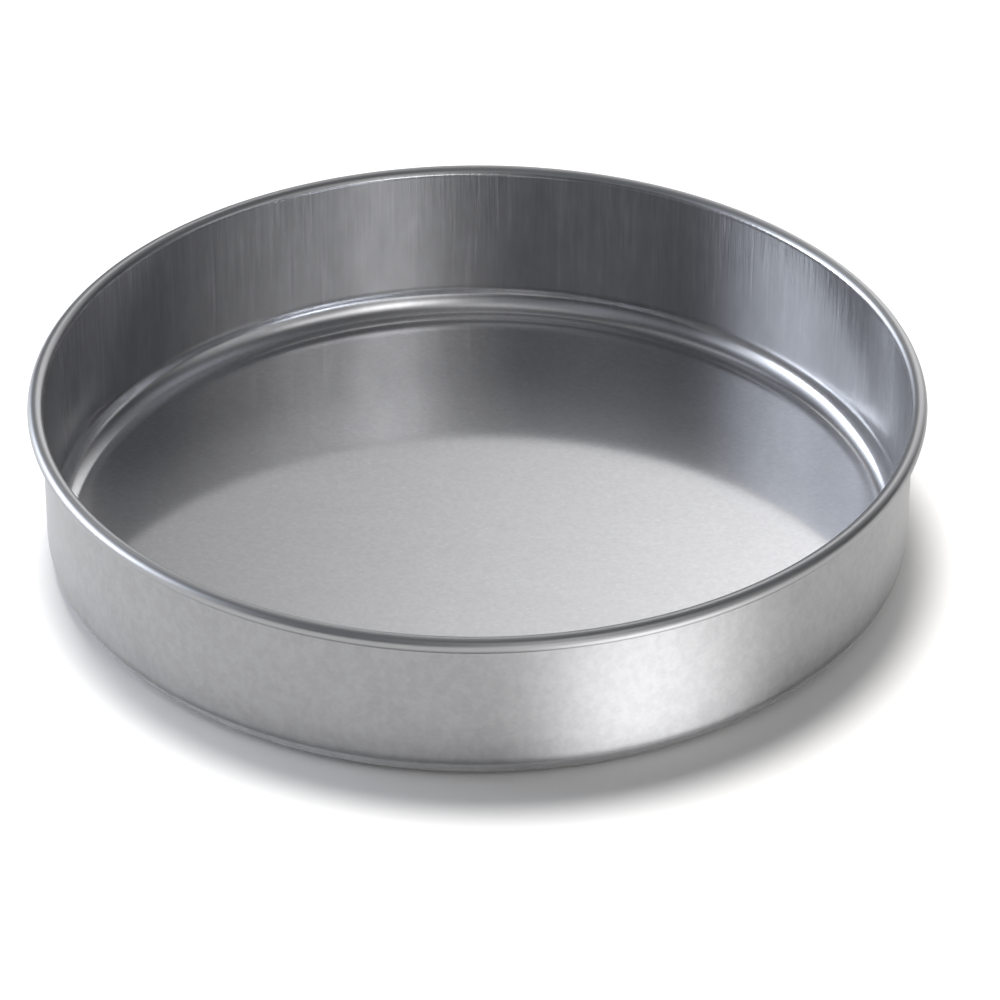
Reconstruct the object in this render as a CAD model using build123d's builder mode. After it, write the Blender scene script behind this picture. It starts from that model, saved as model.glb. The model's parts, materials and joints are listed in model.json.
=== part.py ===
from build123d import *
from math import acos, degrees
import os

# A shallow round cake tin with straight sides and a solid base. It is two pieces: a pan drawn
# from one sheet of steel, and a wire hoop that the pan's top edge is curled round to stiffen it.
# Millimetres, +Z up. The origin is the centre of the underside.

# Driving dimensions
inner_diameter = 200.0
overall_height = 40.0
sheet_thickness = 0.5
corner_radius = 6.5  # on the inside, between the floor and the wall
wire_diameter = 2.5
wire_clearance = 0.1  # all round the wire, inside the curl
lip_gap = 0.1  # between the curl's cut edge and the outside of the wall
wire_butt_gap = 1.0  # between the two ends of the hoop

# The wall stands straight up from the floor's corner to the curl
inner_radius = inner_diameter / 2
outer_radius = inner_radius + sheet_thickness
corner_centre_radius = inner_radius - corner_radius
corner_centre_height = sheet_thickness + corner_radius

# The curl leaves the wall at its inner face, goes over the wire and comes back under it
curl_inner_radius = wire_diameter / 2 + wire_clearance
curl_outer_radius = curl_inner_radius + sheet_thickness
curl_centre_radius = inner_radius + curl_outer_radius
curl_centre_height = overall_height - curl_outer_radius
lip_reach = curl_centre_radius - outer_radius - lip_gap
curl_turn = 180 + degrees(acos(-lip_reach / curl_outer_radius))

# The pan: the sheet's section from the middle of the floor to the cut edge, turned about Z
with BuildPart() as pan_shell:
    with BuildSketch(Plane.YZ):
        with BuildLine():
            # The face that touches the cake, which becomes the outside of the curl
            floor_top = Line((0, sheet_thickness), (corner_centre_radius, sheet_thickness))
            inner_corner = CenterArc(
                (corner_centre_radius, corner_centre_height), corner_radius, -90, 90
            )
            inner_wall = Line(inner_corner @ 1, (inner_radius, curl_centre_height))
            curl_outside = CenterArc(
                (curl_centre_radius, curl_centre_height), curl_outer_radius, 180, -curl_turn
            )
            # The other face, which becomes the inside of the curl
            curl_inside = CenterArc(
                (curl_centre_radius, curl_centre_height), curl_inner_radius, 180, -curl_turn
            )
            outer_wall = Line(curl_inside @ 0, (outer_radius, corner_centre_height))
            outer_corner = CenterArc(
                (corner_centre_radius, corner_centre_height), corner_radius + sheet_thickness, 0, -90
            )
            underside = Line(outer_corner @ 1, (0, 0))
            # The cut edge and the middle of the floor close the section
            cut_edge = Line(curl_outside @ 1, curl_inside @ 1)
            middle = Line(underside @ 1, floor_top @ 0)
        make_face()
    revolve(axis=Axis.Z)
pan_shell.part.label = "pan_shell"

# The hoop: a round wire bent to a ring, its two ends facing each other at the back
with BuildPart() as rim_wire:
    with BuildSketch(Plane.YZ):
        with Locations((curl_centre_radius, curl_centre_height)):
            Circle(wire_diameter / 2)
    revolve(axis=Axis.Z, revolution_arc=360 - degrees(wire_butt_gap / curl_centre_radius))
rim_wire.part.label = "rim_wire"

os.makedirs("parts", exist_ok=True)
export_step(pan_shell.part, "parts/pan_shell.step")
export_step(rim_wire.part, "parts/rim_wire.step")
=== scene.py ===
import json
from math import acos, cos, hypot, pi, radians, sin

import bpy
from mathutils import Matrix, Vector


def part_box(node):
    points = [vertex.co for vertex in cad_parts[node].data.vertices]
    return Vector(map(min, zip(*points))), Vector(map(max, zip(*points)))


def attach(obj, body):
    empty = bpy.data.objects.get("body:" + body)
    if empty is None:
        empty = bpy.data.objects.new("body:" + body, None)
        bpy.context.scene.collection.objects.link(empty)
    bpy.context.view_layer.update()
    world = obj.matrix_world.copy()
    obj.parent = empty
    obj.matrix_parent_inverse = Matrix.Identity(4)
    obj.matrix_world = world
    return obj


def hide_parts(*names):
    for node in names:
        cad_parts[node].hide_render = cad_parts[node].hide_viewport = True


# A round cake tin: a pan drawn from one sheet of tinned steel, its edge curled over a wire hoop.
# Metres, +Z up, the origin at the centre of the underside.

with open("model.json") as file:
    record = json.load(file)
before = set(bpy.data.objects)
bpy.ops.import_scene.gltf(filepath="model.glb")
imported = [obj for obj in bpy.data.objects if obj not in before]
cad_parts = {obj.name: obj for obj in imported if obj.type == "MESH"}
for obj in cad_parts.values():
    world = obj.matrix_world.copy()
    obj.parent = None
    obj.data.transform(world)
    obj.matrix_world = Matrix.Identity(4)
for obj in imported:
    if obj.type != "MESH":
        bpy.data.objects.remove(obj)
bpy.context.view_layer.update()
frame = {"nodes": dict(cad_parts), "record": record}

MM = 0.001

# The tin's sizes, read from the frame
mounts = {mount["name"]: mount for mount in frame["record"]["mounts"]}
sheet = mounts["inner_floor"]["pos_m"][2] - mounts["base_rest"]["pos_m"][2]
rim_low, rim_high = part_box("pan_shell")
wire_low, wire_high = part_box("rim_wire")
height = rim_high.z


def reach(node, from_height=0.0, to_height=height):
    """How far a node's points lie from the Z axis at most, between two heights."""
    points = [vertex.co for vertex in frame["nodes"][node].data.vertices]
    return max(hypot(p.x, p.y) for p in points if from_height <= p.z <= to_height)


HAIR = 0.01 * MM  # what counts as the same height, and how far the studio's floor lies below the tin
wire_radius = (wire_high.z - wire_low.z) / 2
curl_ring = reach("rim_wire") - wire_radius
curl_radius = reach("pan_shell") - curl_ring
inner_radius = curl_ring - curl_radius
floor_ring = reach("pan_shell", 0.0, HAIR)
corner = inner_radius - floor_ring
LIP_GAP = 0.1 * MM  # between the curl's cut edge and the outside of the wall

# How finely the pan is modelled
ROUND_STEPS = 320
FLOOR_RINGS = 10
CORNER_RINGS = 20
WALL_RINGS = 8
CURL_RINGS = 44
SUPPORT = 0.25 * MM  # between a bend's last ring and the ring that keeps the flat beside it flat


def deselect():
    if bpy.context.object and bpy.context.object.mode != "OBJECT":
        bpy.ops.object.mode_set(mode="OBJECT")
    bpy.ops.object.select_all(action="DESELECT")


def apply_modifier(piece, kind, **settings):
    """Adds a modifier with these settings and applies it."""
    modifier = piece.modifiers.new(kind.lower(), kind)
    for name, value in settings.items():
        setattr(modifier, name, value)
    bpy.ops.object.modifier_apply(modifier=modifier.name)


def arc(centre, radius, start, turn, steps):
    """Points along an arc of the section, as (distance from the axis, height), without its first point."""
    angles = [start + turn * (step + 1) / steps for step in range(steps)]
    return [(centre[0] + radius * cos(a), centre[1] + radius * sin(a)) for a in angles]


def pan_section():
    """The face of the sheet that the cake touches, from the floor's first ring to the curl's cut edge."""
    top = sheet
    flat = [(floor_ring * (ring + 1) / FLOOR_RINGS, top) for ring in range(FLOOR_RINGS - 1)]
    flat += [(floor_ring - SUPPORT, top), (floor_ring, top)]
    bend = arc((floor_ring, top + corner), corner, -pi / 2, pi / 2, CORNER_RINGS)
    foot, crest = top + corner + SUPPORT, height - curl_radius
    rise = (crest - SUPPORT - foot) / WALL_RINGS
    wall = [(inner_radius, foot + rise * ring) for ring in range(WALL_RINGS + 1)]
    wall += [(inner_radius, crest)]
    lip_turn = pi + acos(-(curl_radius - sheet - LIP_GAP) / curl_radius)
    curl = arc((curl_ring, crest), curl_radius, pi, -lip_turn, CURL_RINGS)
    return flat + bend + wall + curl


def model_pan():
    """A disc at the middle of the floor, whose edge is pulled out ring by ring along the section. The skin
    is then given the sheet's thickness."""
    section = pan_section()
    deselect()
    bpy.ops.mesh.primitive_circle_add(
        vertices=ROUND_STEPS, radius=section[0][0], fill_type="TRIFAN", location=(0, 0, section[0][1])
    )
    pan = bpy.context.object
    pan.name = "pan"
    bpy.ops.object.transform_apply(location=True, rotation=True, scale=True)
    bpy.ops.object.mode_set(mode="EDIT")
    bpy.ops.mesh.select_mode(type="EDGE")
    bpy.ops.mesh.select_all(action="SELECT")
    bpy.ops.mesh.region_to_loop()
    for (r0, z0), (r1, z1) in zip(section, section[1:]):
        bpy.ops.mesh.extrude_edges_move(TRANSFORM_OT_translate={"value": (0, 0, z1 - z0)})
        bpy.ops.transform.resize(value=(r1 / r0, r1 / r0, 1), center_override=(0, 0, z1))
    bpy.ops.mesh.select_all(action="SELECT")
    bpy.ops.mesh.normals_make_consistent(inside=False)
    bpy.ops.object.mode_set(mode="OBJECT")
    if pan.data.polygons[0].normal.z < 0:
        pan.data.flip_normals()
    apply_modifier(pan, "SOLIDIFY", thickness=sheet, offset=-1, use_even_offset=True)
    bpy.ops.object.shade_smooth_by_angle(angle=radians(40))
    return pan


class Field:
    """A socket of a shader tree. An expression on it adds the Math nodes that work it out."""

    def __init__(self, tree, socket):
        self.tree = tree
        self.socket = socket

    def math(self, operation, first, second):
        return self.tree.node("Math", {"operation": operation}, {0: first, 1: second})

    def __add__(self, other):
        return self.math("ADD", self, other)

    def __radd__(self, other):
        return self.math("ADD", other, self)

    def __sub__(self, other):
        return self.math("SUBTRACT", self, other)

    def __rsub__(self, other):
        return self.math("SUBTRACT", other, self)

    def __mul__(self, other):
        return self.math("MULTIPLY", self, other)

    def __rmul__(self, other):
        return self.math("MULTIPLY", other, self)

    def __truediv__(self, other):
        return self.math("DIVIDE", self, other)

    def __pow__(self, other):
        return self.math("POWER", self, other)

    def rise(self, low, high):
        """A smooth step: 0 up to low, 1 from high on."""
        ends = {"Value": self, "From Min": low, "From Max": high}
        return self.tree.node("MapRange", {"interpolation_type": "SMOOTHSTEP"}, ends)


class Tree:
    """The shader tree of a material or of the world."""

    def __init__(self, owner):
        owner.use_nodes = True
        self.nodes = owner.node_tree.nodes
        self.links = owner.node_tree.links
        self.nodes.clear()

    def node(self, kind, settings=None, sockets=None, output=0):
        """Adds a node, makes its settings, fills or links its sockets, and returns one of its outputs."""
        node = self.nodes.new("ShaderNode" + kind)
        for name, value in (settings or {}).items():
            setattr(node, name, value)
        for name, value in (sockets or {}).items():
            if isinstance(value, Field):
                self.links.new(value.socket, node.inputs[name])
            else:
                node.inputs[name].default_value = value
        return Field(self, node.outputs[output]) if node.outputs else node

    def place(self):
        """The point of the surface, in the frame's metres, as three fields and as one vector."""
        point = self.node("TexCoord", output="Object")
        split = self.node("SeparateXYZ", sockets={0: point}).socket.node
        x, y, z = (Field(self, split.outputs[axis]) for axis in "XYZ")
        return x, y, z, point

    def noise(self, point, size, stretch=(1, 1, 1), detail=2.0, roughness=0.5):
        """Smooth noise from 0 to 1 about 0.5, whose spots are this size in metres, longer along an axis
        by its part of stretch."""
        squeeze = tuple(1 / (size * part) for part in stretch)
        spots = self.node("VectorMath", {"operation": "MULTIPLY"}, {0: point, 1: squeeze})
        sockets = {"Vector": spots, "Scale": 1.0, "Detail": detail, "Roughness": roughness}
        return self.node("TexNoise", {}, sockets)

    def grey(self, tint, tone):
        """A colour made lighter or darker by a field."""
        return self.node("VectorMath", {"operation": "SCALE"}, {0: tint, "Scale": tone})


def material(name):
    made = bpy.data.materials.new(name)
    return made, Tree(made)


# The pan's metal. The outside and the bead are given a darker colour than the inside: painted shade,
# standing in for the dimmer surroundings that they mirror.
TIN_TINT = (0.54, 0.54, 0.55)
OUTSIDE_PAINTED_SHADE = 0.43
BEAD_PAINTED_SHADE = 0.42

# Each finish has a clear sheen of its own roughness, and over it a haze, which is this share of the whole
FLOOR_ROUGHNESS = 0.10
FLOOR_HAZE = 0.30
WALL_ROUGHNESS = 0.15
WALL_HAZE = 0.28
OUTSIDE_ROUGHNESS = 0.35
OUTSIDE_HAZE = 0.55
BEAD_ROUGHNESS = 0.33
BEAD_HAZE = 0.55
HAZE_ROUGHNESS = 0.5

# How far each pattern lightens and darkens the metal
MARKS_TONE = 0.8
BRUSHED_TONE = 0.13
RUBBED_TONE = 0.26
FLOOR_GRAIN_TONE = 0.26
SPECKS_TONE = 0.12
SHEEN_TONE = 0.05
OUTSIDE_GRAIN_TONE = 0.1
FLAKES_TONE = 0.04
CLOUDS_TONE = 0.08

# How far they change its roughness
MARKS_POLISH = 0.10
FLAKES_MATTNESS = 0.02
CLOUDS_MATTNESS = 0.08

# How high they stand, in millimetres
MARKS_RELIEF = 0.08
FLAKES_RELIEF = 0.003
GRAIN_RELIEF = 0.004

WIRE_TINT = (0.42, 0.42, 0.42)
WIRE_ROUGHNESS = 0.4
STREAKS_TONE = 0.3
STREAKS_MATTNESS = 0.2


def finishes(radius, z):
    """Where on the pan a point is: fields that are 1 on the floor, on the inside of the wall, on the outside
    and on the bead, and 0 elsewhere."""
    # The sheet's two faces are told apart halfway through it
    within = 1 - radius.rise(inner_radius + 0.4 * sheet, inner_radius + 0.6 * sheet)
    top_side = within * z.rise(0.4 * sheet, 0.6 * sheet)
    flat = top_side * (1 - (z - sheet).rise(0.1 * corner, 0.5 * corner))
    wall = top_side - flat
    bead = z.rise(height - 2.1 * curl_radius, height - 1.9 * curl_radius) * (1 - top_side)
    outside = 1 - top_side - bead
    return flat, wall, outside, bead


def draw_marks(paint, point, z):
    """Upright marks, lighter and darker than the wall round them. They start at the rim, and each runs a
    different way down the wall."""
    fine = paint.noise(point, 0.8 * MM, stretch=(1, 1, 26), detail=3.0, roughness=0.7) - 0.5
    coarse = paint.noise(point, 2.2 * MM, stretch=(1, 1, 12)) - 0.5
    patchy = paint.noise(point, 22 * MM, stretch=(1, 1, 3))
    up_wall = (z - sheet - corner) / (height - sheet - corner)
    unevenness = 2.4
    run = (up_wall + coarse * unevenness).rise(-0.2, 0.9)
    depth = patchy.rise(0.4, 0.62) * 0.4 + 0.5
    return (fine + coarse * 0.5) * run * depth


def tinned_sheet():
    """Satin tinned steel: a fine, nearly even grain with small specks on the floor, upright draw marks on
    the inside of the wall, and a mottled outside. The outside and the bead are darkened with painted shade."""
    made, paint = material("tinned_sheet")
    x, y, z, point = paint.place()
    flat, wall, outside, bead = finishes((x * x + y * y) ** 0.5, z)

    # The inside of the wall
    marks = draw_marks(paint, point, z) * wall
    brushed = paint.noise(point, 1.6 * MM, stretch=(1, 1, 3), detail=3.0, roughness=0.6) - 0.5
    rubbed = paint.noise(point, 5 * MM, stretch=(1, 1, 2.2)) - 0.5

    # The grain and the specks of the rolled sheet, and a faint sheen along it
    grain = paint.noise(point, 0.9 * MM, stretch=(1.3, 1, 1), roughness=0.6) - 0.5
    specks = paint.noise(point, 0.8 * MM, stretch=(1.3, 1, 1), detail=1.0).rise(0.66, 0.78)
    sheen = paint.noise(point, 6 * MM, stretch=(5, 1, 1)) - 0.5

    # The mottle of the tin on the outside, in soft flakes a little taller than wide
    flakes = paint.noise(point, 2.2 * MM, stretch=(1, 1, 1.3), detail=1.5).rise(0.36, 0.64) - 0.5
    clouds = paint.noise(point, 10 * MM, stretch=(1, 1, 1.2)) - 0.5

    floor_tone = grain * FLOOR_GRAIN_TONE + specks * SPECKS_TONE + sheen * SHEEN_TONE
    wall_tone = brushed * BRUSHED_TONE + rubbed * RUBBED_TONE
    mottle_tone = grain * OUTSIDE_GRAIN_TONE + flakes * FLAKES_TONE + clouds * CLOUDS_TONE
    tone = 1 + flat * floor_tone + wall * wall_tone + marks * MARKS_TONE
    # The outside and the bead are darkened as a whole here: painted shade, not a different metal
    tone = tone + outside * (mottle_tone - OUTSIDE_PAINTED_SHADE) - bead * BEAD_PAINTED_SHADE
    colour = paint.grey(TIN_TINT, tone)

    clear = WALL_ROUGHNESS * wall + FLOOR_ROUGHNESS * flat - marks * MARKS_POLISH
    clear = clear + OUTSIDE_ROUGHNESS * outside + BEAD_ROUGHNESS * bead
    clear = clear + outside * (flakes * FLAKES_MATTNESS + clouds * CLOUDS_MATTNESS)
    haze = WALL_HAZE * wall + FLOOR_HAZE * flat + OUTSIDE_HAZE * outside + BEAD_HAZE * bead

    relief = marks * MARKS_RELIEF + flakes * outside * FLAKES_RELIEF + grain * flat * GRAIN_RELIEF
    dents = paint.node("Bump", {}, {"Height": relief, "Strength": 1.0, "Distance": MM})
    metal = {"Base Color": colour, "Metallic": 1.0, "Normal": dents}
    sharp = paint.node("BsdfPrincipled", {}, {**metal, "Roughness": clear})
    soft = paint.node("BsdfPrincipled", {}, {**metal, "Roughness": HAZE_ROUGHNESS})
    both = paint.node("MixShader", {}, {0: haze, 1: sharp, 2: soft})
    paint.node("OutputMaterial", {}, {"Surface": both})
    return made


def wire_steel():
    """Plain drawn steel wire, with the drawing's streaks along it."""
    made, paint = material("wire_steel")
    x, y, z, point = paint.place()
    section = paint.node("CombineXYZ", {}, {"X": (x * x + y * y) ** 0.5, "Y": z})
    streaks = paint.noise(section, 0.3 * MM) - 0.5
    metal = paint.node("BsdfPrincipled", {}, {
        "Base Color": paint.grey(WIRE_TINT, 1 + streaks * STREAKS_TONE),
        "Metallic": 1.0,
        "Roughness": WIRE_ROUGHNESS + streaks * STREAKS_MATTNESS,
    })
    paint.node("OutputMaterial", {}, {"Surface": metal})
    return made


def dress(piece, made):
    """Gives a piece this material all over."""
    piece.data.materials.clear()
    piece.data.materials.append(made)


# The pan and the wire
pan = model_pan()
dress(pan, tinned_sheet())
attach(pan, "root")
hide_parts("pan_shell")
dress(frame["nodes"]["rim_wire"], wire_steel())

# The camera looks down at the tin from the front with a long lens
CAMERA_DISTANCE = 1284.8 * MM
CAMERA_ELEVATION = radians(33.655)
CAMERA_AIM = Vector((5.2, 0.0, 8.6)) * MM
LENS = 197.1
SENSOR = 36.0


def place_camera():
    camera = bpy.data.objects.new("camera", bpy.data.cameras.new("camera"))
    bpy.context.scene.collection.objects.link(camera)
    camera.location = Vector((0, -cos(CAMERA_ELEVATION), sin(CAMERA_ELEVATION))) * CAMERA_DISTANCE
    camera.rotation_mode = "QUATERNION"
    camera.rotation_quaternion = (CAMERA_AIM - camera.location).to_track_quat("-Z", "Y")
    camera.data.lens = LENS
    camera.data.sensor_width = SENSOR
    bpy.context.scene.camera = camera


place_camera()

# The studio, a dim room round the tin with soft lights in it. Each light has an azimuth from the camera's
# side, positive to the right, an elevation, a spread, all in degrees, and a brightness.
FLOOR_SIZE = 6.0
DIM = (0.02, 0.021, 0.025)
COOL = (0.94, 1.0, 1.1)
NEUTRAL = (1.0, 1.0, 1.0)
COOL_LIGHTS = {
    "window": (262, 14, 12.5, 4.05),
    "window's top": (280, 32, 6, 0.45),
    "window's middle": (258, 6, 9.6, 8.9),
    "window's far end": (232.5, 16.5, 8.4, 7.4),
    "window's upper half": (246, 56, 6, 0.5),
    "window's reflection on the left": (324, 42, 13, 0.29),
    "roof light": (111, 51, 11, 0.35),
}
NEUTRAL_LIGHTS = {
    "lamp behind": (169.5, 41.5, 5.2, 1.5),
    "its twin": (171, 42.4, 5.2, 1.7),
    "its lower edge": (170, 31.5, 5, 0.56),
    "low lamp behind": (159, 18, 13, 3),
    "lamp by the window": (204.7, 46.6, 5.5, 3.1),
    "softbox in front": (26, 41, 8.7, 2.3),
    "edge of the softbox": (22, 37, 7, 0.4),
    "low softbox in front": (18, -3, 11.1, 4.3),
    "card in front": (64, 17, 14.3, 0.65),
    "card over the camera": (358, 60, 8, 0.6),
    "card's foot": (2, 34, 8, 0.22),
    "boom in front": (50, 39, 6, 0.9),
    "top light": (32, 84, 9, 0.22),
    "high light on the left": (262, 68, 6, 0.2),
    "high light in front": (324, 63, 6, 0.22),
    "high light behind": (180, 74, 8, 0.9),
}
KEY = (196, 76, 20, 1.06)
FLOOR_COLOUR = (0.79, 0.78, 0.765, 1)

# The glowing patch of the floor, a painted pool of light that only the metal mirrors, which paints the
# highlight
# on the outside of the wall: where round the wall its middle is seen, in degrees to the right of the
# front, how many degrees it reaches from there to the left and to the right, and how far out it lies
PATCH_GLOW_COLOUR = (2.65, 2.65, 2.65)
PATCH_MIDDLE = radians(21)
PATCH_LEFT = radians(19)
PATCH_RIGHT = radians(25)
PATCH_NEAR = 101 * MM
PATCH_NEAR_EDGE = 8 * MM
PATCH_FAR = 165 * MM
PATCH_FAR_EDGE = 30 * MM


def direction(azimuth, elevation):
    azimuth, elevation = radians(azimuth), radians(elevation)
    return Vector((sin(azimuth) * cos(elevation), -cos(azimuth) * cos(elevation), sin(elevation)))


def glow(sky, ray, lights):
    """The lights' brightness along a ray, each fading out round its middle."""
    total = 0.0
    for azimuth, elevation, spread, brightness in lights.values():
        middle = direction(azimuth, elevation)
        nearness = sky.node("VectorMath", {"operation": "DOT_PRODUCT"}, {0: ray, 1: middle}, "Value")
        sharpness = 1 / radians(spread) ** 2
        fade = sky.node("Math", {"operation": "MULTIPLY_ADD"}, {0: nearness, 1: sharpness, 2: -sharpness})
        light = sky.node("Math", {"operation": "EXPONENT"}, {0: fade})
        total = sky.node("Math", {"operation": "MULTIPLY_ADD"}, {0: light, 1: brightness, 2: total})
    return total


def light_sky(world):
    sky = Tree(world)
    ray = sky.node("TexCoord", output="Generated")
    total = DIM
    for tint, lights in ((COOL, COOL_LIGHTS), (NEUTRAL, NEUTRAL_LIGHTS)):
        light = sky.grey(tint, glow(sky, ray, lights))
        total = sky.node("VectorMath", {"operation": "ADD"}, {0: total, 1: light})
    background = sky.node("Background", {}, {"Color": total, "Strength": 1.0})
    sky.node("OutputWorld", {}, {"Surface": background})


def painted_light_patch(cloth):
    """A soft patch of painted light glowing on the floor at the tin's right front, which only the metal
    shows: it paints the highlight on the outside of the wall. It is laid out by the way that the wall
    mirrors: its brightness depends on where round the wall it is seen."""
    x, y, z, point = cloth.place()
    far = (x * x + y * y) ** 0.5
    turn = cloth.node("Math", {"operation": "ARCTAN2"}, {0: x, 1: y * -1})
    round_wall = turn * far / (far * 2 - inner_radius)
    lit = round_wall.rise(PATCH_MIDDLE - PATCH_LEFT, PATCH_MIDDLE)
    lit = lit * (1 - round_wall.rise(PATCH_MIDDLE, PATCH_MIDDLE + PATCH_RIGHT))
    lit = lit * far.rise(PATCH_NEAR, PATCH_NEAR + PATCH_NEAR_EDGE)
    lit = lit * (1 - far.rise(PATCH_FAR, PATCH_FAR + PATCH_FAR_EDGE))
    return lit * cloth.node("LightPath", output="Is Glossy Ray")


def lay_floor():
    deselect()
    bpy.ops.mesh.primitive_plane_add(size=FLOOR_SIZE, location=(0, 0, -HAIR))
    floor = bpy.context.object
    floor.name = "studio_floor"
    made, cloth = material("studio_floor")
    pale = cloth.node("BsdfDiffuse", {}, {"Color": FLOOR_COLOUR})
    # A painted pool of light: the patch glows by emission, though it is no lamp, and only glossy rays see it
    painted_glow = cloth.node("Emission", {}, {"Color": cloth.grey(PATCH_GLOW_COLOUR, painted_light_patch(cloth))})
    cloth.node("OutputMaterial", {}, {"Surface": cloth.node("AddShader", {}, {0: pale, 1: painted_glow})})
    dress(floor, made)
    return floor


def hang_key(floor):
    """A large soft lamp overhead for the floor alone: it whitens the ground and throws the tin's shadow."""
    azimuth, elevation, size, brightness = KEY
    lamp = bpy.data.lights.new("key", "SUN")
    lamp.energy = brightness * pi
    lamp.angle = radians(size)
    key = bpy.data.objects.new("key", lamp)
    bpy.context.scene.collection.objects.link(key)
    key.rotation_euler = (-direction(azimuth, elevation)).to_track_quat("-Z", "Y").to_euler()
    ground = bpy.data.collections.new("lit by the key")
    ground.objects.link(floor)
    key.light_linking.receiver_collection = ground


hang_key(lay_floor())
world = bpy.data.worlds.new("studio")
bpy.context.scene.world = world
light_sky(world)

bpy.context.scene.view_settings.view_transform = "Standard"
